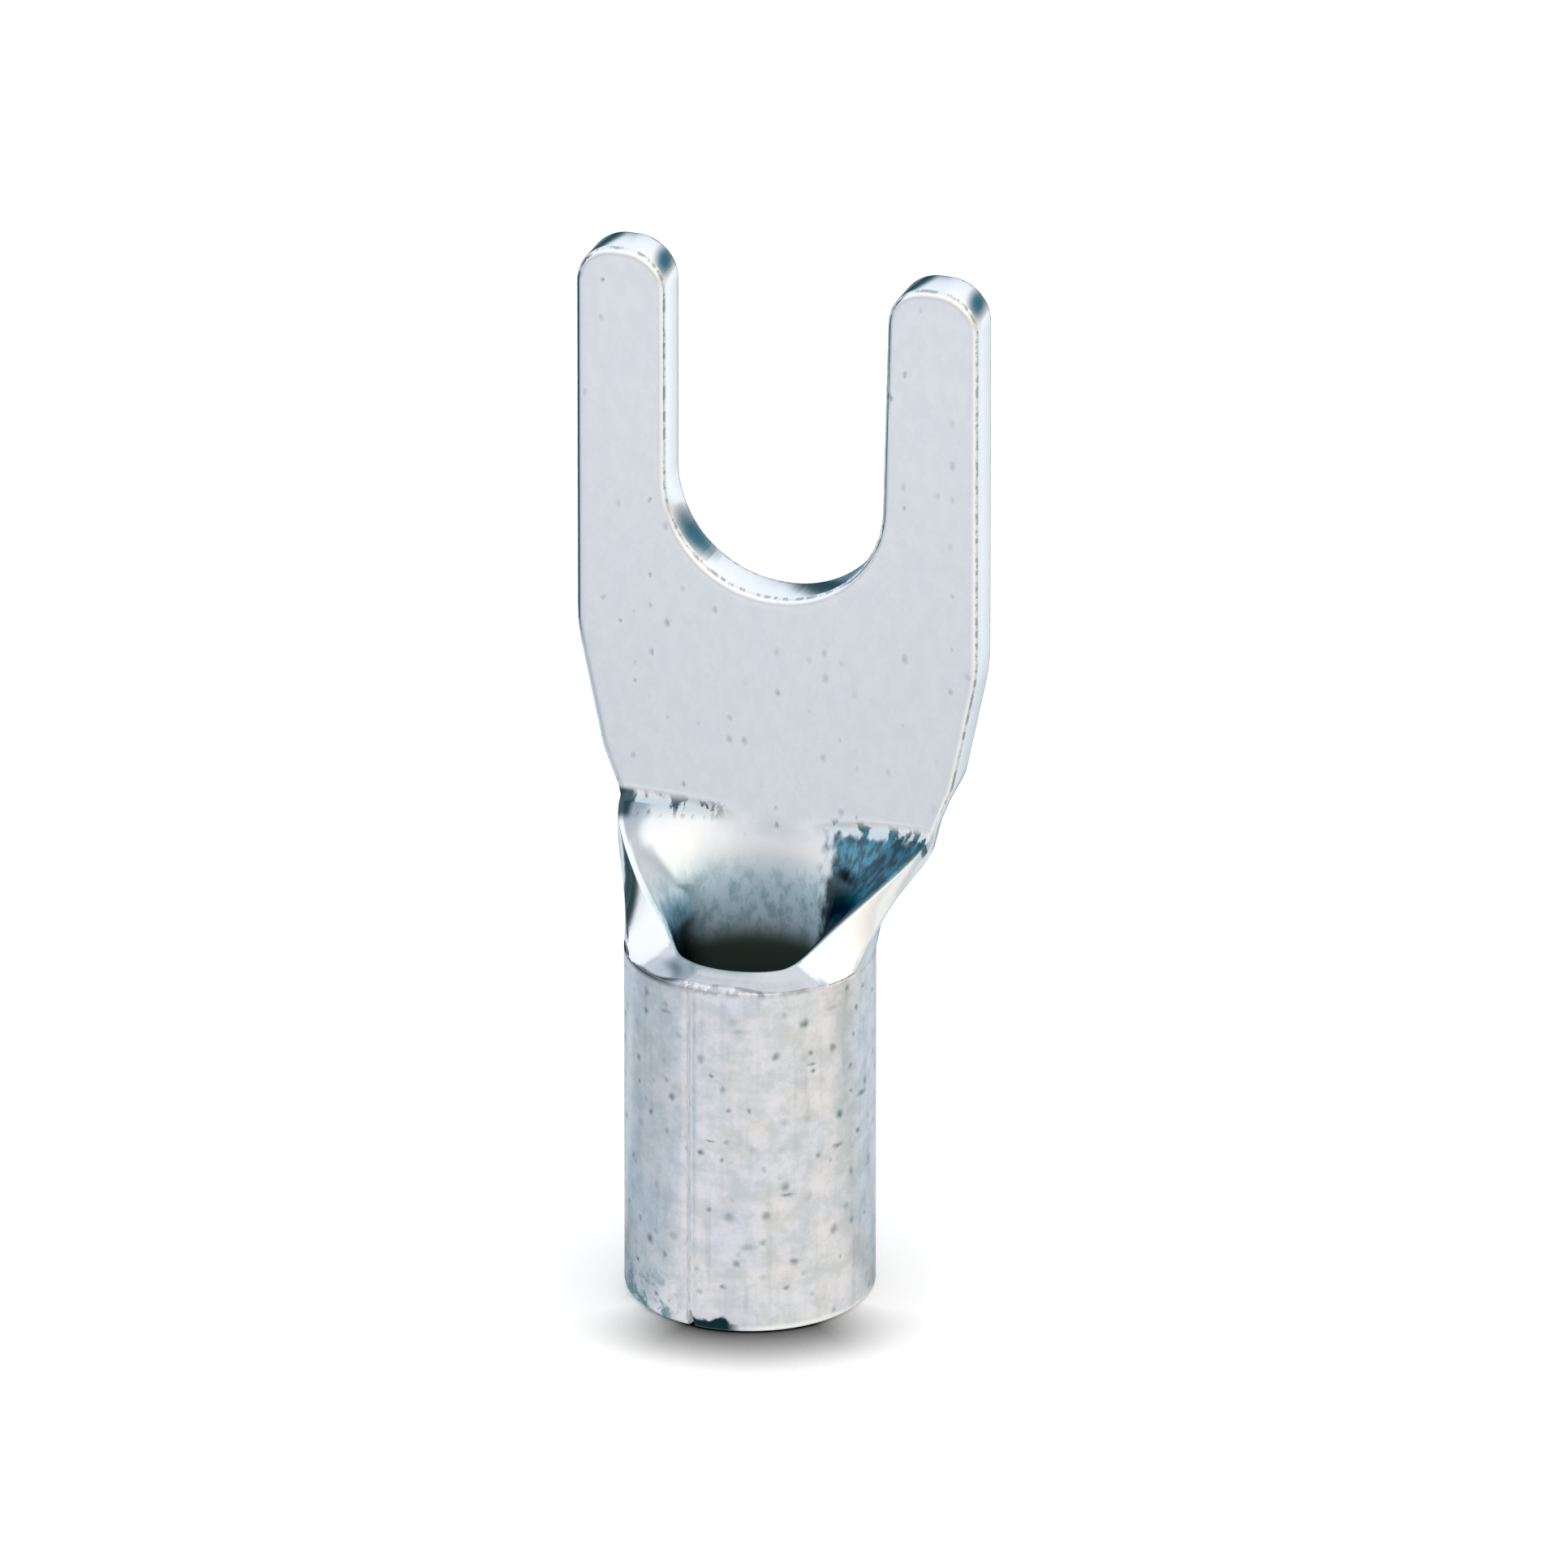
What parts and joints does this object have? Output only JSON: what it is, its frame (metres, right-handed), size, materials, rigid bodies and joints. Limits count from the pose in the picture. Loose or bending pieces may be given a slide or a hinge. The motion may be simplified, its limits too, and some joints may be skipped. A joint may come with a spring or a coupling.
{
  "type": "fork terminal",
  "caption": "Bare crimp terminal of tinned copper sheet: a rolled and brazed wire barrel, an open neck and a flat palm with an open fork for a screw.",
  "frame": {"origin": "centre of the bounding box's base, on the barrel's axis at its wire end", "axes": "+Z along the barrel's axis from the wire end to the fork's tips, +Y out of the palm's back, -Y out of the palm's front face and the seam's side, X across the fork"},
  "size_m": [0.0068, 0.004, 0.0172],
  "materials": {
    "tinned_copper": "bright electro-tinned copper, with fine pits and a few scratches"
  },
  "bodies": {
    "root": {"fork_terminal": "tinned_copper"}
  },
  "joints": []
}
